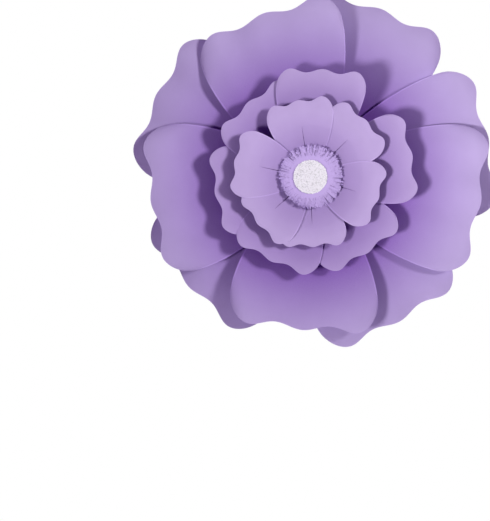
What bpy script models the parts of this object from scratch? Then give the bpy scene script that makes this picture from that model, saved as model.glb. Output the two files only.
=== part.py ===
"""Giant paper flower, 400 mm across, made to be fixed flat against a wall.

The flower faces -Y and stands upright, +Z up. Its origin is the centre of the
backing disc's rear face, the face that is stuck to the wall. Everything is drawn
in the flower's own frame, where x runs right, y runs up and z runs out of the
wall, under one empty that turns that frame upright.
"""
import math
from collections import namedtuple

import bmesh
import bpy

MM = 0.001

# Driving dimensions, in millimetres.
PAPER = 0.5            # thickness of the petal card
GAP = 0.3              # air left between pieces that touch
BACKING_RADIUS = 55.0
BACKING_THICKNESS = 2.0
DISC_THICKNESS = 1.0
MIDDLE_DISC_RADIUS = 24.0
INNER_DISC_RADIUS = 20.0
RISER_RADIUS = 14.0
RISER_TOP = 28.0
PAD_RADIUS = 9.0
PAD_TOP = 46.0
TAB_STEP = 1.6         # rise from one overlapping tab to the next
BEND_RISE = 2.3        # how far a bend has begun to rise at the disc that lies in it
FRINGE_RADIUS = 36.5
FRINGE_UNCUT_RADIUS = 23.0
FRINGE_STRIPS = 60
FRINGE_RISE = 5.0
GLITTER_RADIUS = 19.0
GLITTER_THICKNESS = 0.8
DISC_SIDES = 48

# A petal's card: where its lobes and its dart fall, as parts of its own size.
LOBE_PITCH = 0.76      # distance from one lobe's crown to the next, across
CORNER_POWER = 6.5     # how square the two outer corners are
SIDE_POWER = 1.7       # how soon the sides open out from the tab
DART_SLOT = 0.5        # width of the dart's slot at the tab
COLUMNS = (0.0, 0.19, 0.38, 0.57, 0.76, 0.92, 1.0)
ROWS = (0.0, 0.09, 0.18, 0.3, 0.46, 0.64, 0.82, 1.0)

Ring = namedtuple("Ring", "name base root bend softness span start_slope end_slope "
                          "tab_width width shoulder lobe dart petals")
Petal = namedtuple("Petal", "angle reach lean level tilt twist", defaults=(0.0,))

# Heights above the wall, worked out from the wall up.
BACK_BASE = BACKING_THICKNESS + GAP
FRONT_BASE = BACK_BASE + 2 * TAB_STEP + PAPER + GAP
MIDDLE_DISC_BASE = FRONT_BASE + TAB_STEP + PAPER + BEND_RISE
MIDDLE_BASE = MIDDLE_DISC_BASE + DISC_THICKNESS + GAP
RISER_BASE = MIDDLE_BASE + 2 * TAB_STEP + PAPER + BEND_RISE
INNER_DISC_BASE = RISER_TOP + GAP
INNER_BASE = INNER_DISC_BASE + DISC_THICKNESS + GAP
PAD_BASE = INNER_BASE + 2 * TAB_STEP + PAPER + BEND_RISE
FRINGE_BASE = PAD_TOP + GAP
GLITTER_BASE = FRINGE_BASE + PAPER + GAP

# Each petal's turn about the flower, reach from its centre, how much longer its
# clockwise side is, its place in the stack of tabs and its extra slope forward.
RINGS = (
    Ring("back_petal", BACK_BASE, 18, 40, 14, 150, 0.42, -0.10,
         22, 80, 29, 3.3, 3,
         (Petal(67, 200, 3, 0, 0.0), Petal(12.5, 199, 0, 2, 0.03, -6),
          Petal(302, 185, -4, 1, 0.0, -6), Petal(222, 178, 1, 0, -0.02, -6),
          Petal(152, 190, 3, 1, 0.06, 6))),
    Ring("front_petal", FRONT_BASE, 16, 36, 14, 150, 0.54, 0.02,
         22, 80, 28, 3.3, 3,
         (Petal(106, 184, 6, 1, 0.02), Petal(189, 175, 1, 0, 0.0),
          Petal(267, 166, -3, 1, 0.02), Petal(351.5, 187, -2, 0, 0.0))),
    Ring("middle_petal", MIDDLE_BASE, 12, 30, 12, 90, 0.92, 0.28,
         14, 48, 17, 2.2, 3,
         (Petal(83.5, 116, 3, 2, 0.02), Petal(130, 105, 0, 1, 0.0),
          Petal(190, 105, 1, 0, 0.0), Petal(245, 101, 0, 1, 0.0),
          Petal(307, 103, -3, 0, -0.02), Petal(12, 112, -1, 1, 0.0))),
    Ring("inner_petal", INNER_BASE, 8, 20, 10, 68, 0.80, 0.35,
         8, 36, 14, 1.7, 4,
         (Petal(100, 83, 1, 1, 0.0), Petal(45, 85, 0, 0, 0.0),
          Petal(342, 77, -1, 1, 0.0), Petal(272, 76, 0, 0, -0.02),
          Petal(222, 77, -1, 1, 0.02), Petal(169, 84, 0, 2, 0.02))),
)


def clear_scene():
    for old in list(bpy.data.objects):
        bpy.data.objects.remove(old, do_unlink=True)


def make_material(name, colour, roughness, metallic=0.0):
    material = bpy.data.materials.new(name)
    material.use_nodes = True
    material.diffuse_color = (*colour, 1.0)
    shader = material.node_tree.nodes["Principled BSDF"]
    shader.inputs["Base Color"].default_value = (*colour, 1.0)
    shader.inputs["Roughness"].default_value = roughness
    shader.inputs["Metallic"].default_value = metallic
    return material


def add_object(name, mesh, material, frame):
    mesh.materials.append(material)
    piece = bpy.data.objects.new(name, mesh)
    bpy.context.scene.collection.objects.link(piece)
    piece.parent = frame
    return piece


def make_frame():
    """The empty that turns the flower's face from +Z to -Y."""
    frame = bpy.data.objects.new("flower_frame", None)
    frame.rotation_euler = (math.radians(90), 0.0, 0.0)
    bpy.context.scene.collection.objects.link(frame)
    return frame


def make_disc(name, radius, bottom, top, material, frame):
    """A flat round plate between two heights above the wall."""
    mesh = bpy.data.meshes.new(name)
    work = bmesh.new()
    bmesh.ops.create_cone(work, cap_ends=True, segments=DISC_SIDES,
                          radius1=radius * MM, radius2=radius * MM,
                          depth=(top - bottom) * MM)
    bmesh.ops.translate(work, verts=work.verts, vec=(0, 0, (top + bottom) / 2 * MM))
    work.to_mesh(mesh)
    work.free()
    mesh.shade_smooth()
    mesh.set_sharp_from_angle(angle=math.radians(40))
    return add_object(name, mesh, material, frame)


def rim_distance(ring, petal, across):
    """Distance from the flower's centre to the lobed rim, along the petal."""
    shoulder = petal.reach - ring.shoulder
    crown = math.sqrt(max(0.0, 1.0 - abs(across) ** CORNER_POWER))
    scallop = ring.lobe * (math.cos(2 * math.pi * across / LOBE_PITCH) - 1.0)
    return shoulder + ring.shoulder * crown + scallop + petal.lean * across


def half_width(ring, along):
    opening = 1.0 - (1.0 - along) ** SIDE_POWER
    return ring.tab_width + (ring.width - ring.tab_width) * opening


def bowl_height(ring, petal, radius):
    """Height above the tab: flat, then a soft bend and a slope that eases off."""
    lead = radius - ring.bend
    run = (lead + math.hypot(lead, ring.softness)) / 2
    easing = (ring.end_slope - ring.start_slope) * run * run / (2 * ring.span)
    return (ring.start_slope + petal.tilt) * run + easing


def petal_point(ring, petal, across, along, side):
    """A point on the petal's rear face, with the petal pointing along +Y."""
    out = ring.root + along * (rim_distance(ring, petal, across) - ring.root)
    sideways = across * half_width(ring, along)
    height = ring.base + petal.level * TAB_STEP
    height += bowl_height(ring, petal, math.hypot(sideways, out))
    height += petal.twist * across * along ** 2
    dart_end = ROWS[ring.dart]
    if along < dart_end:
        open_part = 1.0 - along / dart_end
        if across == 0.0:
            sideways += side * DART_SLOT / 2 * open_part
    return (sideways * MM, out * MM, height * MM)


def petal_columns():
    """Columns from left to right; the middle one comes twice, once a side."""
    left = [(-across, -1) for across in reversed(COLUMNS)]
    right = [(across, 1) for across in COLUMNS]
    return left + right


def petal_mesh(name, ring, petal):
    """One layer of faces over the petal, slit along its dart."""
    mesh = bpy.data.meshes.new(name)
    work = bmesh.new()
    columns = petal_columns()
    grid = [[work.verts.new(petal_point(ring, petal, across, along, side))
             for across, side in columns] for along in ROWS]
    middle = len(COLUMNS) - 1
    for row in grid[ring.dart:]:
        work.verts.remove(row[middle + 1])
        row[middle + 1] = row[middle]
    for lower, upper in zip(grid, grid[1:]):
        for k in range(len(columns) - 1):
            if k != middle:
                work.faces.new((lower[k], lower[k + 1], upper[k + 1], upper[k]))
    work.to_mesh(mesh)
    work.free()
    return mesh


def thicken(piece):
    """Gives the sheet its card thickness, towards the viewer."""
    shell = piece.modifiers.new("card", "SOLIDIFY")
    shell.thickness = PAPER * MM
    shell.offset = 1.0
    shell.use_even_offset = True
    piece.data.shade_smooth()
    piece.data.set_sharp_from_angle(angle=math.radians(40))


def make_petals(ring, material, frame):
    for number, petal in enumerate(ring.petals, start=1):
        name = f"{ring.name}_{number}"
        piece = add_object(name, petal_mesh(name, ring, petal), material, frame)
        piece.rotation_euler = (0.0, 0.0, math.radians(petal.angle - 90.0))
        thicken(piece)


def strip_rise(angle):
    """How far a strip's tip is bent up; the lower left stands up most."""
    return FRINGE_RISE + 2.5 * math.cos(angle - math.radians(215))


def fringe_vertex(work, radius, angle, height):
    return work.verts.new((radius * math.cos(angle) * MM,
                           radius * math.sin(angle) * MM, height * MM))


def make_fringed_disc(material, frame):
    """A paper disc whose edge is cut into narrow strips that curl up."""
    mesh = bpy.data.meshes.new("fringed_disc")
    work = bmesh.new()
    pitch = 2 * math.pi / FRINGE_STRIPS
    hub = work.verts.new((0, 0, FRINGE_BASE * MM))
    roots = [fringe_vertex(work, FRINGE_UNCUT_RADIUS, k * pitch, FRINGE_BASE)
             for k in range(FRINGE_STRIPS)]
    middle_radius = (FRINGE_UNCUT_RADIUS + FRINGE_RADIUS) / 2
    for k, root in enumerate(roots):
        following = roots[(k + 1) % FRINGE_STRIPS]
        work.faces.new((hub, root, following))
        angle = (k + 0.5) * pitch
        rise = strip_rise(angle)
        near = following, root
        for radius, part, width in ((middle_radius, 0.35, 0.84), (FRINGE_RADIUS, 1.0, 0.7)):
            half = width * pitch / 2
            height = FRINGE_BASE + rise * part
            far = (fringe_vertex(work, radius, angle + half, height),
                   fringe_vertex(work, radius, angle - half, height))
            work.faces.new((near[0], near[1], far[1], far[0]))
            near = far
    work.to_mesh(mesh)
    work.free()
    thicken(add_object("fringed_disc", mesh, material, frame))


def build():
    clear_scene()
    frame = make_frame()
    lavender = make_material("lavender_paper", (0.50, 0.38, 0.70), 0.75)
    pale = make_material("pale_lavender_paper", (0.56, 0.47, 0.76), 0.75)
    board = make_material("backing_board", (0.62, 0.55, 0.74), 0.85)
    foam = make_material("foam_pad", (0.86, 0.86, 0.86), 0.9)
    glitter = make_material("glitter_card", (0.80, 0.80, 0.80), 0.35)
    make_disc("backing_disc", BACKING_RADIUS, 0.0, BACKING_THICKNESS, board, frame)
    make_disc("middle_base_disc", MIDDLE_DISC_RADIUS, MIDDLE_DISC_BASE,
              MIDDLE_DISC_BASE + DISC_THICKNESS, board, frame)
    make_disc("inner_riser", RISER_RADIUS, RISER_BASE, RISER_TOP, foam, frame)
    make_disc("inner_base_disc", INNER_DISC_RADIUS, INNER_DISC_BASE,
              INNER_DISC_BASE + DISC_THICKNESS, board, frame)
    make_disc("centre_pad", PAD_RADIUS, PAD_BASE, PAD_TOP, foam, frame)
    for ring in RINGS:
        make_petals(ring, lavender, frame)
    make_fringed_disc(pale, frame)
    make_disc("glitter_disc", GLITTER_RADIUS, GLITTER_BASE,
              GLITTER_BASE + GLITTER_THICKNESS, glitter, frame)


build()
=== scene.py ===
"""Giant paper flower: card petals, a fringed disc and a glitter disc, lit for a plain studio.

The flower hangs upright and faces -Y. Each piece is drawn in the flower's own frame first,
where x runs right, y runs up and z runs out of the wall, and is then turned to stand.
"""
import math
import random
from collections import namedtuple

import bmesh
import bpy
import numpy as np
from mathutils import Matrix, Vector


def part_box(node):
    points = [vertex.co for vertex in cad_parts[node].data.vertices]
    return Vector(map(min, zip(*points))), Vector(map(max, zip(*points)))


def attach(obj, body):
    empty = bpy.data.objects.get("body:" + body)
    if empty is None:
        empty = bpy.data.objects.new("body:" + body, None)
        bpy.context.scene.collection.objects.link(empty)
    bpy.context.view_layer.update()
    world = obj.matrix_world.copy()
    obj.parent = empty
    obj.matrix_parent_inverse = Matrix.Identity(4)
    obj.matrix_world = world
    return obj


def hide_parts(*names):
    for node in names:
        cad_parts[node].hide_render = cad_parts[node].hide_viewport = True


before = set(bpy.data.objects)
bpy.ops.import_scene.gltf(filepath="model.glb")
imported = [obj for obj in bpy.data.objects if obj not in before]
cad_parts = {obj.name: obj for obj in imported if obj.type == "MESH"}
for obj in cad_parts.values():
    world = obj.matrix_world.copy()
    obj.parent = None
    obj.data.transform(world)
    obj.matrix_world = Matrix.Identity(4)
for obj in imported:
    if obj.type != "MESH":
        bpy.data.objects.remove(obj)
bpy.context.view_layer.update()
MM = 0.001

bl_info = {
    "name": "Giant Paper Flower",
    "version": (1, 0, 0),
    "blender": (4, 5, 0),
    "location": "View3D > Sidebar > Paper Flower",
    "description": "Cupped card petals in four rings round a fringed disc and a glitter disc",
    "category": "Add Mesh",
}

Ring = namedtuple("Ring", "name root bend softness span start_slope end_slope tab_width width "
                          "shoulder lobe dart columns rows curl side_curl warp crease knee fade "
                          "petals")
Petal = namedtuple("Petal", "angle reach lean tilt twist", defaults=(0.0,))

# The four rings of petals, in millimetres, from the wall out. The card starts flat at its root,
# bends up past the bend at its start slope, and eases to its end slope over its span. The lobe is
# how deep the rim's scallops are, the dart how far up the petal it runs, and the shade fade the
# two distances from the axis between which the painted shade at the root gives way to the rim's
# colour;
# one below zero means that the painted shade's full depth is never reached. A petal's angle is
# its direction, its lean slants its rim, its tilt adds to its slope, and its twist lifts one end
# of its rim and lowers the other.
BACK_RING = Ring(
    name="back_petal",
    root=18, bend=40, softness=14, span=150,
    start_slope=0.42, end_slope=-0.1,
    tab_width=22, width=80, shoulder=29, lobe=3.3,
    dart=0.3, columns=84, rows=60,
    curl=4.0, side_curl=1.0, warp=1.6, crease=0.8, knee=0.0,
    fade=(95, 192),
    petals=(Petal(67, 200, 3, 0.0), Petal(12.5, 199, 0, 0.03, -6), Petal(302, 185, -4, 0.0, -6),
            Petal(222, 178, 1, -0.02, -6), Petal(152, 190, 3, 0.06, 6)))
FRONT_RING = Ring(
    name="front_petal",
    root=16, bend=36, softness=14, span=150,
    start_slope=0.54, end_slope=0.02,
    tab_width=22, width=80, shoulder=28, lobe=3.3,
    dart=0.3, columns=84, rows=60,
    curl=4.5, side_curl=2.2, warp=1.8, crease=0.8, knee=0.0,
    fade=(96, 182),
    petals=(Petal(106, 184, 6, 0.02), Petal(189, 175, 1, 0.0), Petal(267, 166, -3, 0.02),
            Petal(351.5, 187, -2, 0.0)))
MIDDLE_RING = Ring(
    name="middle_petal",
    root=12, bend=30, softness=12, span=90,
    start_slope=0.92, end_slope=0.28,
    tab_width=14, width=48, shoulder=17, lobe=2.2,
    dart=0.46, columns=64, rows=44,
    curl=2.2, side_curl=0.5, warp=0.4, crease=0.5, knee=0.8,
    fade=(40, 120),
    petals=(Petal(83.5, 116, 3, 0.02), Petal(130, 105, 0, 0.0), Petal(190, 105, 1, 0.0),
            Petal(245, 101, 0, 0.0), Petal(307, 103, -3, -0.02), Petal(12, 112, -1, 0.0)))
INNER_RING = Ring(
    name="inner_petal",
    root=8, bend=20, softness=10, span=68,
    start_slope=0.8, end_slope=0.35,
    tab_width=8, width=36, shoulder=14, lobe=1.7,
    dart=0.64, columns=64, rows=44,
    curl=1.6, side_curl=0.4, warp=0.3, crease=0.8, knee=1.6,
    fade=(-45, 70),
    petals=(Petal(100, 83, 1, 0.0), Petal(45, 85, 0, 0.0), Petal(342, 77, -1, 0.0),
            Petal(272, 76, 0, -0.02), Petal(222, 77, -1, 0.02), Petal(169, 84, 0, 0.02)))
LOBE_PITCH = 0.76       # a lobe's width, as a part of the petal's half width
CORNER_POWER = 6.5      # how square the petal's shoulders are
SIDE_POWER = 1.7        # how fast the petal widens from its tab
CURL_ZONE = 0.2         # how far the rim's curl reaches in, as a part of the petal's reach
SIDE_CURL_ZONE = 0.3    # how far the sides' curl reaches in, as a part of the petal's width
VALLEY_WIDTH = 9.0      # millimetres over which the valley along a dart fades out
OVERLAP_WIDTH = 14.0    # millimetres over which a dart's raised edge fades out
KNEE_ROUNDING = 1.5     # millimetres by which the crease at a dart's tip is rounded
KNEE_ZONE = 0.22        # how far that crease spreads, as a part of the petal's reach
WARP_WAVES = ((1.3, 0.8), (2.1, 1.7), (3.3, 0.4))   # waves across and along a petal
LARGE_PETAL_WIDTH = 60  # half width, in millimetres, past which a petal is a large one
TINY = 1e-6
SMOOTH_ANGLE = math.radians(35)

FRINGE_PAPER = 0.35 * MM
FRINGE_MARGIN = 13.5 * MM   # from the fringed disc's rim to the roots of its strips
SLIT_GAP = 0.03 * MM        # half the gap between two strips at their roots
FLAKE_SIDES = 6

# Each light's place and where it points, in metres. The two in front are crossed.
KEY_LIGHTS = {"left_key": ((-0.95, -1.5, -0.44), (0.24, 0.0, 0.04)),
              "right_key": ((1.24, -1.4, 0.4), (-0.2, 0.0, 0.01))}
FILL_LIGHTS = {"rear_left_fill": (-1.3, 1.5, 1.3), "rear_right_fill": (1.3, 1.4, 0.8)}
FILL_AIM = (0.0, 0.0, -0.2)
FLOOR_RADIUS = 0.66
CAMERA_SHIFT = (-0.0708, -0.0905)   # the camera's place along X and Z, in metres

# Where a colour Mix node keeps its two colours and its result.
MIX_FIRST, MIX_SECOND, MIX_RESULT = 6, 7, 2


class FlowerSizes(bpy.types.PropertyGroup):
    card: bpy.props.FloatProperty(
        name="Card thickness", description="Thickness of the petal card",
        default=0.5 * MM, unit="LENGTH")
    dart_step: bpy.props.FloatProperty(
        name="Dart step", description="How far one edge of a petal's dart stands over the other",
        default=1.1 * MM, unit="LENGTH")
    # The edge band carries the paler cut-edge colour, a painted highlight along the card's edge.
    edge_band: bpy.props.FloatProperty(
        name="Edge band", description="Width of the paler line where the card was cut",
        default=0.35 * MM, unit="LENGTH")
    dart_slot: bpy.props.FloatProperty(
        name="Dart slot", description="Width of the dart's open slot at the tab",
        default=1.0 * MM, unit="LENGTH")
    strips: bpy.props.IntProperty(
        name="Fringe strips", description="Number of strips cut round the fringed disc",
        default=150)
    strip_length: bpy.props.FloatProperty(
        name="Strip length", description="Depth of the cuts in the fringed disc",
        default=13 * MM, unit="LENGTH")
    flakes: bpy.props.IntProperty(
        name="Glitter flakes", description="Number of flakes on the glitter disc", default=1600)
    flake_radius: bpy.props.FloatProperty(
        name="Flake radius", description="Radius of a flake of glitter",
        default=0.85 * MM, unit="LENGTH")


class FlowerColours(bpy.types.PropertyGroup):
    large: bpy.props.FloatVectorProperty(
        name="Large petals", description="Colour of the large petals at their rims",
        default=(0.57, 0.47, 0.75), subtype="COLOR")
    small: bpy.props.FloatVectorProperty(
        name="Small petals", description="Colour of the middle and inner petals at their rims",
        default=(0.47, 0.37, 0.61), subtype="COLOR")
    # Painted shade: the root colour stands for the shade held deep in the cupped rings near the
    # axis.
    root: bpy.props.FloatVectorProperty(
        name="Petal root", description="Deeper colour of every petal towards its root",
        default=(0.19, 0.062, 0.385), subtype="COLOR")
    # Painted highlight: the cut edge is coloured paler to stand for the light caught by the
    # card's thin edge.
    cut_edge: bpy.props.FloatProperty(
        name="Cut edge", description="How much paler the card is where it was cut", default=1.15)
    fringe: bpy.props.FloatVectorProperty(
        name="Fringe paper", description="Colour of the fringed disc",
        default=(0.50, 0.39, 0.68), subtype="COLOR")
    board: bpy.props.FloatVectorProperty(
        name="Backing card", description="Colour of the discs that join the petals",
        default=(0.42, 0.32, 0.56), subtype="COLOR")
    pad: bpy.props.FloatVectorProperty(
        name="Pad", description="Colour of the pads between the rings",
        default=(0.85, 0.84, 0.86), subtype="COLOR")


class StudioSettings(bpy.types.PropertyGroup):
    distance: bpy.props.FloatProperty(
        name="Camera distance", description="Camera's distance from the wall face",
        default=3.0, unit="LENGTH")
    frame_height: bpy.props.FloatProperty(
        name="Frame height", description="Height that the camera sees at the wall face",
        default=0.5731, unit="LENGTH")
    floor_drop: bpy.props.FloatProperty(
        name="Floor drop", description="How far the floor lies below the flower's centre",
        default=0.52, unit="LENGTH")
    key: bpy.props.FloatProperty(
        name="Key light", description="Power of each light in front, in watts", default=120.0)
    fill: bpy.props.FloatProperty(
        name="Rear fill", description="Power of each soft light behind, in watts", default=24.0)
    ambient: bpy.props.FloatProperty(
        name="Ambient light", description="Strength of the light from all round", default=0.15)


# ---- materials ----

def new_material(name):
    material = bpy.data.materials.new(name)
    material.use_nodes = True
    nodes = material.node_tree.nodes
    return material, nodes, material.node_tree.links, nodes["Principled BSDF"]


def add_noise(nodes, links, scale, detail, roughness=0.55):
    place = nodes.new("ShaderNodeTexCoord")
    noise = nodes.new("ShaderNodeTexNoise")
    noise.inputs["Scale"].default_value = scale
    noise.inputs["Detail"].default_value = detail
    noise.inputs["Roughness"].default_value = roughness
    links.new(place.outputs["Object"], noise.inputs["Vector"])
    return noise.outputs["Fac"]


def add_range(nodes, links, value, low, high, to_low, to_high):
    remap = nodes.new("ShaderNodeMapRange")
    for socket, number in zip(("From Min", "From Max", "To Min", "To Max"),
                              (low, high, to_low, to_high)):
        remap.inputs[socket].default_value = number
    links.new(value, remap.inputs["Value"])
    return remap.outputs["Result"]


def add_mix(nodes, links, factor, first, second):
    """Mixes two colours, each a colour or another node's output."""
    mix = nodes.new("ShaderNodeMix")
    mix.data_type = "RGBA"
    links.new(factor, mix.inputs["Factor"])
    for socket, colour in ((mix.inputs[MIX_FIRST], first),
                           (mix.inputs[MIX_SECOND], second)):
        if isinstance(colour, bpy.types.NodeSocket):
            links.new(colour, socket)
        else:
            socket.default_value = (*colour, 1.0)
    return mix.outputs[MIX_RESULT]


def add_bump(nodes, links, height, strength, distance):
    bump = nodes.new("ShaderNodeBump")
    bump.inputs["Strength"].default_value = strength
    bump.inputs["Distance"].default_value = distance
    links.new(height, bump.inputs["Height"])
    return bump.outputs["Normal"]


def add_radius(nodes, links):
    """Distance from the flower's axis, in metres."""
    place = nodes.new("ShaderNodeTexCoord")
    flatten = nodes.new("ShaderNodeVectorMath")
    flatten.operation = "MULTIPLY"
    flatten.inputs[1].default_value = (1.0, 0.0, 1.0)
    length = nodes.new("ShaderNodeVectorMath")
    length.operation = "LENGTH"
    links.new(place.outputs["Object"], flatten.inputs[0])
    links.new(flatten.outputs["Vector"], length.inputs[0])
    return length.outputs["Value"]


def paler(colour, gain):
    return tuple(min(1.0, c * gain) for c in colour)


def paper_material(name, light, root=None, fade=(0.0, 1.0)):
    """Matte dyed card: faint mottling, fine fibres and a soft tooth, with painted shade deeper
    towards the root when a root colour is given.
    """
    material, nodes, links, shader = new_material(name)
    mottle = add_range(nodes, links, add_noise(nodes, links, 26, 3), 0.35, 0.65, 0.0, 1.0)
    fibres = add_noise(nodes, links, 1500, 5, 0.7)
    speck = add_range(nodes, links, fibres, 0.3, 0.7, 0.0, 0.12)
    tone = add_mix(nodes, links, mottle, tuple(c * 0.95 for c in light), light)
    # Painted shade: towards the flower's axis the colour deepens to the root colour, standing for
    # the shade that the cupped rings hold.
    if root:
        outward = add_range(nodes, links, add_radius(nodes, links), *fade, 0.0, 1.0)
        tone = add_mix(nodes, links, outward, root, tone)
    links.new(add_mix(nodes, links, speck, tone, paler(light, 1.12)), shader.inputs["Base Color"])
    links.new(add_range(nodes, links, fibres, 0.3, 0.7, 0.72, 0.9), shader.inputs["Roughness"])
    links.new(add_bump(nodes, links, fibres, 0.25, 0.06 * MM), shader.inputs["Normal"])
    shader.inputs["Specular IOR Level"].default_value = 0.22
    return material


def glitter_material():
    """Flakes of pale foil, each with its own tint and brightness from the glint attribute, partly
    the foil's own colours and partly painted glint.
    """
    material, nodes, links, shader = new_material("glitter_foil")
    glint = nodes.new("ShaderNodeAttribute")
    glint.attribute_name = "glint"
    ramp = nodes.new("ShaderNodeValToRGB")
    # The ramp gives each flake a tint and a brightness: partly the foil's own colours, partly
    # painted glint from grey to white.
    tints_and_glints = ((0.0, (0.50, 0.50, 0.53)), (0.25, (0.70, 0.72, 0.66)), (0.5, (0.95, 0.93, 0.80)),
             (0.75, (0.84, 0.82, 0.90)), (1.0, (1.0, 1.0, 1.0)))
    while len(ramp.color_ramp.elements) < len(tints_and_glints):
        ramp.color_ramp.elements.new(0.5)
    for stop, (position, colour) in zip(ramp.color_ramp.elements, tints_and_glints):
        stop.position = position
        stop.color = (*colour, 1.0)
    links.new(glint.outputs["Fac"], ramp.inputs["Fac"])
    links.new(ramp.outputs["Color"], shader.inputs["Base Color"])
    links.new(add_range(nodes, links, glint.outputs["Fac"], 0.0, 1.0, 0.45, 0.2),
              shader.inputs["Roughness"])
    shader.inputs["Metallic"].default_value = 0.15
    return material


def floor_material():
    material, nodes, links, shader = new_material("studio_floor")
    grain = add_noise(nodes, links, 40, 2)
    links.new(add_mix(nodes, links, grain, (0.80, 0.80, 0.81), (0.85, 0.85, 0.86)),
              shader.inputs["Base Color"])
    shader.inputs["Roughness"].default_value = 0.9
    return material


# ---- shapes ----

def deselect_all():
    if bpy.context.object and bpy.context.object.mode != "OBJECT":
        bpy.ops.object.mode_set(mode="OBJECT")
    bpy.ops.object.select_all(action="DESELECT")


def stand_up(points):
    """Turns flower-frame points, in metres, so that the flower faces -Y."""
    x, y, z = points
    return np.stack([x, -z, y], axis=-1)


def read_points(mesh):
    flat = np.zeros(len(mesh.vertices) * 3)
    mesh.vertices.foreach_get("co", flat)
    return flat.reshape(-1, 3)


def write_points(mesh, points):
    mesh.vertices.foreach_set("co", np.asarray(points, float).ravel())
    mesh.update()


def rim_distance(ring, petal, across):
    shoulder = petal.reach - ring.shoulder
    crown = np.sqrt(np.clip(1.0 - np.abs(across) ** CORNER_POWER, 0.0, 1.0))
    scallop = ring.lobe * (np.cos(2 * math.pi * across / LOBE_PITCH) - 1.0)
    return shoulder + ring.shoulder * crown + scallop + petal.lean * across


def bowl_height(ring, petal, radius):
    lead = radius - ring.bend
    run = (lead + np.hypot(lead, ring.softness)) / 2
    easing = (ring.end_slope - ring.start_slope) * run * run / (2 * ring.span)
    return (ring.start_slope + petal.tilt) * run + easing


def leave_band(share, last, band):
    """Spreads the rows evenly, but for the last one, which is as wide as the band."""
    return np.where(share > 1.0 - last / 2, 1.0, share / (1.0 - last) * (1.0 - band))


def knee_shape(ring, radius):
    """The soft crease that crosses the petals at their darts' tips."""
    reach = ring.petals[0].reach
    crease_radius = ring.root + ring.dart * (reach - ring.root)
    away = np.hypot(radius - crease_radius, KNEE_ROUNDING)
    return ring.knee * np.clip(1.0 - away / (KNEE_ZONE * reach), 0.0, 1.0)


def near_edge(distance, zone):
    """0 inside the petal, rising smoothly to 1 at the edge."""
    return np.clip(1.0 - distance / zone, 0.0, 1.0) ** 2


def dart_shape(ring, sideways, along, side, sizes):
    """The valley along the dart, and the edge that lies over the other."""
    left = np.clip(1.0 - along / ring.dart, 0.0, 1.0) ** 0.5
    valley = -ring.crease * np.exp(-np.abs(sideways) / VALLEY_WIDTH) * left
    step = sizes.dart_step / MM * left * np.exp(-(sideways / OVERLAP_WIDTH) ** 2)
    return valley + np.where(side < 0, step, 0.0)


def warp_shape(ring, across, along, draw):
    """A hand-bent petal's slow, uneven waves."""
    waves = 0.0
    for across_waves, along_waves in WARP_WAVES:
        phase = draw.uniform(0.0, 2 * math.pi)
        waves = waves + np.sin(across_waves * math.pi * across + phase
                               + along_waves * math.pi * along)
    return ring.warp * waves / 2 * along ** 2


def petal_points(ring, petal, node, sheet, side, sizes, draw):
    """Places a flat square of points on the petal's rear face."""
    band = sizes.edge_band / MM
    along = leave_band((sheet[:, 1] + 1.0) / 2, 1.0 / ring.rows, band / petal.reach)
    opening = 1.0 - (1.0 - along) ** SIDE_POWER
    half_width = ring.tab_width + (ring.width - ring.tab_width) * opening
    column = np.sin(np.clip(sheet[:, 0] / (1.0 - 2.0 / ring.columns), -1.0, 1.0) * math.pi / 2)
    edge = np.abs(sheet[:, 0]) > 1.0 - TINY
    across = np.where(edge, column, column * (1.0 - band / half_width))
    rim = rim_distance(ring, petal, across)
    out = ring.root + along * (rim - ring.root)
    sideways = across * half_width
    tab_height = -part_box(node)[1].y / MM - bowl_height(ring, petal, ring.root)
    height = tab_height + bowl_height(ring, petal, np.hypot(sideways, out))
    height += petal.twist * across * along ** 2
    height -= ring.curl * near_edge((1.0 - along) * rim, CURL_ZONE * petal.reach)
    height -= ring.side_curl * near_edge((1.0 - np.abs(across)) * half_width,
                                         SIDE_CURL_ZONE * ring.width)
    height += warp_shape(ring, across, along, draw)
    height += dart_shape(ring, sideways, along, side, sizes)
    height += knee_shape(ring, np.hypot(sideways, out))
    open_part = np.clip(1.0 - along / ring.dart, 0.0, 1.0) ** 0.5
    on_dart = np.abs(sheet[:, 0]) < TINY
    sideways = sideways + np.where(on_dart, side * sizes.dart_slot / MM / 2 * open_part, 0.0)
    turn = math.radians(petal.angle - 90.0)
    x = sideways * math.cos(turn) - out * math.sin(turn)
    y = sideways * math.sin(turn) + out * math.cos(turn)
    return stand_up((x * MM, y * MM, height * MM))


def slit_dart(piece, dart):
    """Splits the middle line of the sheet from its tab as far as the dart runs."""
    bpy.ops.object.mode_set(mode="EDIT")
    bpy.ops.mesh.select_mode(type="EDGE")
    bpy.ops.mesh.select_all(action="DESELECT")
    sheet = bmesh.from_edit_mesh(piece.data)
    for edge in sheet.edges:
        middle = all(abs(v.co.x) < TINY for v in edge.verts)
        edge.select = middle and max((v.co.y + 1.0) / 2 for v in edge.verts) <= dart
    bmesh.update_edit_mesh(piece.data)
    bpy.ops.mesh.edge_split(type="EDGE")
    bpy.ops.object.mode_set(mode="OBJECT")


def sides_of_points(mesh):
    """-1 or 1 for each point, by the side of the dart that its faces lie on."""
    total = np.zeros(len(mesh.vertices))
    for face in mesh.polygons:
        for corner in face.vertices:
            total[corner] += face.center.x
    return np.where(total < 0, -1.0, 1.0)


def thicken(piece, thickness, rim_slot, even):
    bpy.ops.object.modifier_add(type="SOLIDIFY")
    shell = piece.modifiers[-1]
    shell.thickness = thickness
    shell.offset = 1.0
    shell.use_even_offset = even
    shell.material_offset_rim = rim_slot
    bpy.ops.object.modifier_apply(modifier=shell.name)
    bpy.ops.object.shade_smooth_by_angle(angle=SMOOTH_ANGLE)


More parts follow.
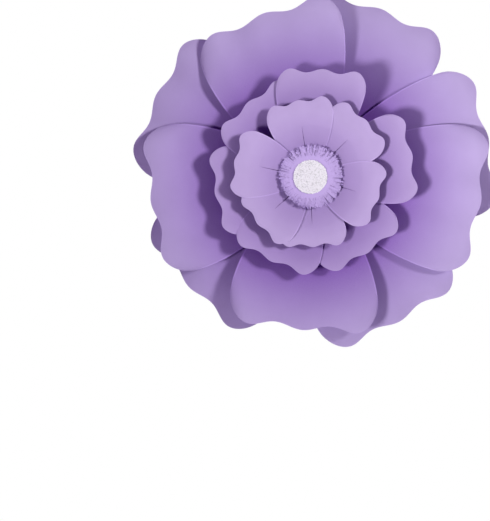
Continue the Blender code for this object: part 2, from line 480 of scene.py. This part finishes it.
def make_petal(ring, petal, number, materials, sizes):
    """One petal: a sheet, slit for its dart, bent to shape and given its thickness."""
    node = f"{ring.name}_{number}"
    deselect_all()
    bpy.ops.mesh.primitive_grid_add(x_subdivisions=ring.columns, y_subdivisions=ring.rows, size=2)
    piece = bpy.context.object
    piece.name = piece.data.name = f"{node}_card"
    for material in materials:
        piece.data.materials.append(material)
    slit_dart(piece, ring.dart)
    sheet = read_points(piece.data)
    side = sides_of_points(piece.data)
    draw = random.Random(node)
    write_points(piece.data, petal_points(ring, petal, node, sheet, side, sizes, draw))
    # The outermost band of faces, and the rim that the shell adds, take the paler edge material:
    # a painted highlight along the cut edge.
    outer = np.abs(sheet).max(axis=1) > 1.0 - TINY
    for face in piece.data.polygons:
        face.material_index = int(any(outer[corner] for corner in face.vertices))
    thicken(piece, sizes.card, rim_slot=1, even=True)
    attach(piece, "root")
    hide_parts(node)


def make_ring(context, ring):
    colours = context.scene.flower_colours
    name = ring.name
    rim = colours.large if ring.width > LARGE_PETAL_WIDTH else colours.small
    fade = tuple(distance * MM for distance in ring.fade)
    # Painted shade: the card's colour deepens from its rim colour to the root colour towards the
    # axis.
    card = paper_material(f"{name}_card", tuple(rim), tuple(colours.root), fade)
    # Painted highlight: the cut edge is paler still, for the light that its thin edge catches.
    gain = colours.cut_edge
    edge = paper_material(f"{name}_cut_edge", paler(rim, gain), paler(colours.root, gain), fade)
    for number, petal in enumerate(ring.petals, start=1):
        make_petal(ring, petal, number, (card, edge), context.scene.flower_sizes)


def towards(angle, degrees):
    """1 where an angle points the given way, falling to 0 at right angles to it."""
    return max(0.0, math.cos(angle - math.radians(degrees)))


def strip_bend(angle, draw):
    """How far a strip curls up: most at the lower left, least at the right."""
    bend = 24 + 44 * towards(angle, 218) ** 2 + 8 * towards(angle, 125)
    return math.radians(bend + draw.uniform(-6, 6))


class PAPERFLOWER_OT_fringed_disc(bpy.types.Operator):
    """Cut paper disc whose strips curl up round the glitter disc"""
    bl_idname = "paper_flower.fringed_disc"
    bl_label = "Fringed Disc"

    columns = 5     # faces across a strip and its slit, the last one being the slit
    rings = 7       # faces along a strip

    def execute(self, context):
        sizes = context.scene.flower_sizes
        low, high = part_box("fringed_disc")
        outer = (high.x - low.x) / 2
        root = outer - FRINGE_MARGIN
        piece = self.cut_disc(sizes, root)
        self.curl_strips(piece, sizes, root, -high.y)
        colours = context.scene.flower_colours
        piece.data.materials.append(paper_material("fringe_paper", tuple(colours.fringe)))
        thicken(piece, FRINGE_PAPER, rim_slot=0, even=False)
        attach(piece, "root")
        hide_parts("fringed_disc")
        return {"FINISHED"}

    def cut_disc(self, sizes, root):
        """A flat disc drawn ring by ring, with the slits' faces deleted."""
        deselect_all()
        total = sizes.strips * self.columns
        bpy.ops.mesh.primitive_circle_add(vertices=total, radius=root, fill_type="NOTHING")
        piece = bpy.context.object
        piece.name = piece.data.name = "fringed_disc_paper"
        bpy.ops.object.mode_set(mode="EDIT")
        bpy.ops.mesh.select_all(action="SELECT")
        radius = root
        for k in range(1, self.rings + 1):
            wanted = root + sizes.strip_length * k / self.rings
            bpy.ops.mesh.extrude_edges_move()
            bpy.ops.transform.resize(value=(wanted / radius, wanted / radius, 1))
            radius = wanted
        self.select_loop(piece, root)
        for share in (0.8, 0.4):
            bpy.ops.mesh.extrude_edges_move()
            bpy.ops.transform.resize(value=(share, share, 1))
        bpy.ops.mesh.extrude_edges_move()
        bpy.ops.mesh.merge(type="CENTER")
        bpy.ops.mesh.select_all(action="SELECT")
        bpy.ops.mesh.normals_make_consistent(inside=False)
        self.delete_slits(piece, root, total)
        bpy.ops.object.mode_set(mode="OBJECT")
        return piece

    def select_loop(self, piece, radius):
        bpy.ops.mesh.select_mode(type="EDGE")
        bpy.ops.mesh.select_all(action="DESELECT")
        disc = bmesh.from_edit_mesh(piece.data)
        for edge in disc.edges:
            edge.select = all(abs(v.co.xy.length - radius) < TINY for v in edge.verts)
        bmesh.update_edit_mesh(piece.data)

    def delete_slits(self, piece, root, total):
        bpy.ops.mesh.select_mode(type="FACE")
        bpy.ops.mesh.select_all(action="DESELECT")
        disc = bmesh.from_edit_mesh(piece.data)
        for face in disc.faces:
            centre = face.calc_center_median()
            turn = math.atan2(centre.y, centre.x) % (2 * math.pi)
            column = int(turn / (2 * math.pi) * total) % self.columns
            face.select = centre.xy.length > root and column == self.columns - 1
        bmesh.update_edit_mesh(piece.data)
        bpy.ops.mesh.delete(type="FACE")

    def slit_widths(self, sizes, draw):
        """How wide each slit gapes at its tip: most are shut, and more gape at the upper left."""
        widths = []
        for k in range(sizes.strips):
            angle = 2 * math.pi * k / sizes.strips
            loose = 0.12 + 0.5 * towards(angle, 122) ** 2
            gape = draw.uniform(0.7, 1.5) if draw.random() < loose else draw.uniform(0.02, 0.2)
            widths.append(gape * MM)
        return widths

    def curl_strips(self, piece, sizes, root, base):
        """Bends each strip up along an arc, with its own length and twist, between its slits."""
        draw = random.Random("fringe")
        pitch = 2 * math.pi / sizes.strips
        widths = self.slit_widths(sizes, draw)
        strips = []
        for k in range(sizes.strips):
            bend = strip_bend((k + 0.5) * pitch, draw)
            strips.append((bend, draw.uniform(0.8, 1.02), draw.gauss(0, 0.14)))
        if piece.data.polygons[0].normal.z < 0:
            piece.data.flip_normals()
        points = read_points(piece.data)
        for point in points:
            radius = math.hypot(point[0], point[1])
            turn = math.atan2(point[1], point[0]) % (2 * math.pi)
            column = round(turn / pitch * self.columns) % (sizes.strips * self.columns)
            strip, column = divmod(column, self.columns)
            share = column / (self.columns - 1)
            part = max(0.0, radius - root) / sizes.strip_length
            bend, length, twist = strips[strip]
            arc = sizes.strip_length * length / bend
            away = min(radius, root) + arc * math.sin(bend * part)
            left = widths[strip] * part / 2 + SLIT_GAP
            right = widths[(strip + 1) % sizes.strips] * part / 2 + SLIT_GAP
            width = pitch * max(away, 5 * MM)
            angle = (strip + (left + share * (width - left - right)) / width) * pitch
            point[0] = away * math.cos(angle)
            point[1] = away * math.sin(angle)
            point[2] = base + arc * (1 - math.cos(bend * part))
            point[2] += twist * (share - 0.5) * width * part
        write_points(piece.data, stand_up(points.T))


class PAPERFLOWER_OT_glitter_disc(bpy.types.Operator):
    """Round card covered in loose flakes of pale glitter"""
    bl_idname = "paper_flower.glitter_disc"
    bl_label = "Glitter Disc"

    def execute(self, context):
        sizes = context.scene.flower_sizes
        low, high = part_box("glitter_disc")
        radius = (high.x - low.x) / 2
        card = self.make_card(radius, -high.y, -low.y)
        flakes = self.make_flakes(sizes, radius, -low.y)
        deselect_all()
        flakes.select_set(True)
        card.select_set(True)
        bpy.context.view_layer.objects.active = card
        bpy.ops.object.join()
        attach(card, "root")
        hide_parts("glitter_disc")
        return {"FINISHED"}

    def make_card(self, radius, bottom, top):
        """The card under the flakes, its rim eased by a bevel."""
        deselect_all()
        bpy.ops.mesh.primitive_cylinder_add(vertices=128, radius=radius - 0.7 * MM,
                                            depth=top - bottom)
        card = bpy.context.object
        card.name = card.data.name = "glitter_disc_foil"
        bpy.ops.object.modifier_add(type="BEVEL")
        card.modifiers[-1].width = 0.15 * MM
        card.modifiers[-1].segments = 2
        bpy.ops.object.modifier_apply(modifier=card.modifiers[-1].name)
        bpy.ops.object.shade_smooth_by_angle(angle=SMOOTH_ANGLE)
        points = read_points(card.data)
        points[:, 2] += (bottom + top) / 2
        write_points(card.data, stand_up(points.T))
        self.set_tint_and_glint(card.data, [0.15] * len(card.data.polygons))
        card.data.materials.append(glitter_material())
        return card

    def make_flakes(self, sizes, radius, top):
        """One six-sided flake, copied all over the card at its own tilt and height."""
        deselect_all()
        bpy.ops.mesh.primitive_circle_add(vertices=FLAKE_SIDES, radius=sizes.flake_radius,
                                          fill_type="NGON")
        flake = bpy.context.object
        corners = read_points(flake.data)
        draw = random.Random("glitter")
        points, faces, tints_and_glints = [], [], []
        for k in range(sizes.flakes):
            away = (radius - 0.9 * MM) * math.sqrt(draw.random())
            around = draw.uniform(0, 2 * math.pi)
            spin, lean = draw.uniform(0, math.pi), math.radians(abs(draw.gauss(0, 16)))
            downhill, scale = draw.uniform(0, 2 * math.pi), draw.uniform(0.55, 1.1)
            x = scale * (corners[:, 0] * math.cos(spin) - corners[:, 1] * math.sin(spin))
            y = scale * (corners[:, 0] * math.sin(spin) + corners[:, 1] * math.cos(spin))
            slope = math.tan(lean) * (x * math.cos(downhill) + y * math.sin(downhill))
            height = top + draw.uniform(0.02, 0.22) * MM + slope
            points.append(np.stack([x + away * math.cos(around), y + away * math.sin(around),
                                    height], axis=-1))
            faces.append(tuple(range(FLAKE_SIDES * k, FLAKE_SIDES * (k + 1))))
            tints_and_glints.append(draw.random())
        bpy.data.objects.remove(flake, do_unlink=True)
        mesh = bpy.data.meshes.new("glitter_flakes")
        mesh.from_pydata(stand_up(np.concatenate(points).T).tolist(), [], faces)
        self.set_tint_and_glint(mesh, tints_and_glints)
        flakes = bpy.data.objects.new("glitter_flakes", mesh)
        bpy.context.scene.collection.objects.link(flakes)
        return flakes

    # Writes each face's glint value, which sets its tint and its painted glint.
    def set_tint_and_glint(self, mesh, values):
        attribute = mesh.attributes.new("glint", "FLOAT", "FACE")
        attribute.data.foreach_set("value", values)


class PAPERFLOWER_OT_back_petals(bpy.types.Operator):
    """Five large petals that lie nearest the wall"""
    bl_idname = "paper_flower.back_petals"
    bl_label = "Back Petals"

    def execute(self, context):
        make_ring(context, BACK_RING)
        return {"FINISHED"}


class PAPERFLOWER_OT_front_petals(bpy.types.Operator):
    """Four large petals over the back ones"""
    bl_idname = "paper_flower.front_petals"
    bl_label = "Front Petals"

    def execute(self, context):
        make_ring(context, FRONT_RING)
        return {"FINISHED"}


class PAPERFLOWER_OT_middle_petals(bpy.types.Operator):
    """Six petals of the middle size"""
    bl_idname = "paper_flower.middle_petals"
    bl_label = "Middle Petals"

    def execute(self, context):
        make_ring(context, MIDDLE_RING)
        return {"FINISHED"}


class PAPERFLOWER_OT_inner_petals(bpy.types.Operator):
    """Six small petals round the fringed disc"""
    bl_idname = "paper_flower.inner_petals"
    bl_label = "Inner Petals"

    def execute(self, context):
        make_ring(context, INNER_RING)
        return {"FINISHED"}


class PAPERFLOWER_OT_discs_and_pads(bpy.types.Operator):
    """Card discs and pads that join the rings, seen from behind and between petals"""
    bl_idname = "paper_flower.discs_and_pads"
    bl_label = "Discs and Pads"

    def execute(self, context):
        colours = context.scene.flower_colours
        board_card = paper_material("backing_card", tuple(colours.board))
        pad_card = paper_material("pad_card", tuple(colours.pad))
        finishes = {"backing_disc": board_card, "middle_base_disc": board_card,
                    "inner_base_disc": board_card, "inner_riser": pad_card,
                    "centre_pad": pad_card}
        for node, material in finishes.items():
            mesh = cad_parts[node].data
            mesh.materials.clear()
            mesh.materials.append(material)
        return {"FINISHED"}


class PAPERFLOWER_OT_studio(bpy.types.Operator):
    """Pale floor, soft lights, white surround and the camera"""
    bl_idname = "paper_flower.studio"
    bl_label = "Studio"

    def execute(self, context):
        studio = context.scene.studio_settings
        self.add_floor(studio)
        for name, (place, aim) in KEY_LIGHTS.items():
            self.add_key(name, place, aim, studio.key)
        for name, place in FILL_LIGHTS.items():
            self.add_fill(name, place, studio.fill)
        self.set_world(studio)
        self.add_camera(studio)
        context.scene.view_settings.view_transform = "Standard"
        return {"FINISHED"}

    def add_floor(self, studio):
        deselect_all()
        bpy.ops.mesh.primitive_circle_add(vertices=96, radius=FLOOR_RADIUS, fill_type="NGON",
                                          location=(0, 0, -studio.floor_drop))
        floor = bpy.context.object
        floor.name = floor.data.name = "studio_floor"
        floor.data.materials.append(floor_material())

    def add_key(self, name, place, aim, power):
        """A round soft light whose cone lies mostly on the far half of the flower."""
        lamp = bpy.data.lights.new(name, "SPOT")
        lamp.energy = power
        lamp.shadow_soft_size = 0.2
        lamp.spot_size = math.radians(23)
        lamp.spot_blend = 1.0
        self.place_lamp(lamp, place, aim)

    def add_fill(self, name, place, power):
        """A square soft light behind the flower, for its back and the floor."""
        lamp = bpy.data.lights.new(name, "AREA")
        lamp.energy = power
        lamp.size = 1.0
        self.place_lamp(lamp, place, FILL_AIM)

    def place_lamp(self, lamp, place, aim):
        light = bpy.data.objects.new(lamp.name, lamp)
        bpy.context.scene.collection.objects.link(light)
        light.location = place
        light.rotation_euler = (Vector(aim) - light.location).to_track_quat("-Z", "Y").to_euler()

    def set_world(self, studio):
        """White behind the flower, and a dimmer light from all round."""
        world = bpy.data.worlds.new("studio_world")
        world.use_nodes = True
        nodes, links = world.node_tree.nodes, world.node_tree.links
        ambient = nodes["Background"]
        ambient.inputs["Color"].default_value = (0.58, 0.14, 1.0, 1.0)
        ambient.inputs["Strength"].default_value = studio.ambient
        white = nodes.new("ShaderNodeBackground")
        white.inputs["Color"].default_value = (1.0, 1.0, 1.0, 1.0)
        path = nodes.new("ShaderNodeLightPath")
        mix = nodes.new("ShaderNodeMixShader")
        links.new(path.outputs["Is Camera Ray"], mix.inputs["Fac"])
        links.new(ambient.outputs["Background"], mix.inputs[1])
        links.new(white.outputs["Background"], mix.inputs[2])
        links.new(mix.outputs["Shader"], nodes["World Output"].inputs["Surface"])
        bpy.context.scene.world = world

    def add_camera(self, studio):
        """Level and square to the wall, below and left of the flower's centre."""
        lens = bpy.data.cameras.new("camera")
        lens.lens = lens.sensor_width * studio.distance / studio.frame_height
        camera = bpy.data.objects.new("camera", lens)
        bpy.context.scene.collection.objects.link(camera)
        camera.location = (CAMERA_SHIFT[0], -studio.distance, CAMERA_SHIFT[1])
        camera.rotation_euler = (math.radians(90), 0.0, 0.0)
        bpy.context.scene.camera = camera


class PAPERFLOWER_PT_panel(bpy.types.Panel):
    bl_label = "Paper Flower"
    bl_idname = "PAPERFLOWER_PT_panel"
    bl_space_type = "VIEW_3D"
    bl_region_type = "UI"
    bl_category = "Paper Flower"

    def draw(self, context):
        layout = self.layout
        for group in ("flower_sizes", "flower_colours", "studio_settings"):
            settings = getattr(context.scene, group)
            box = layout.box()
            for name in settings.bl_rna.properties.keys():
                if name not in ("rna_type", "name"):
                    box.prop(settings, name)
        for operator in OPERATORS:
            layout.operator(operator.bl_idname)


OPERATORS = (
    PAPERFLOWER_OT_back_petals,
    PAPERFLOWER_OT_front_petals,
    PAPERFLOWER_OT_middle_petals,
    PAPERFLOWER_OT_inner_petals,
    PAPERFLOWER_OT_fringed_disc,
    PAPERFLOWER_OT_glitter_disc,
    PAPERFLOWER_OT_discs_and_pads,
    PAPERFLOWER_OT_studio,
)
GROUPS = {"flower_sizes": FlowerSizes, "flower_colours": FlowerColours,
          "studio_settings": StudioSettings}


def register():
    for cls in (*GROUPS.values(), *OPERATORS, PAPERFLOWER_PT_panel):
        bpy.utils.register_class(cls)
    for name, group in GROUPS.items():
        setattr(bpy.types.Scene, name, bpy.props.PointerProperty(type=group))


def unregister():
    for name in GROUPS:
        delattr(bpy.types.Scene, name)
    for cls in (PAPERFLOWER_PT_panel, *reversed(OPERATORS), *GROUPS.values()):
        bpy.utils.unregister_class(cls)


def main():
    register()
    for step in ("back_petals", "front_petals", "middle_petals", "inner_petals",
                 "fringed_disc", "glitter_disc", "discs_and_pads", "studio"):
        getattr(bpy.ops.paper_flower, step)()


if __name__ == "__main__":
    main()
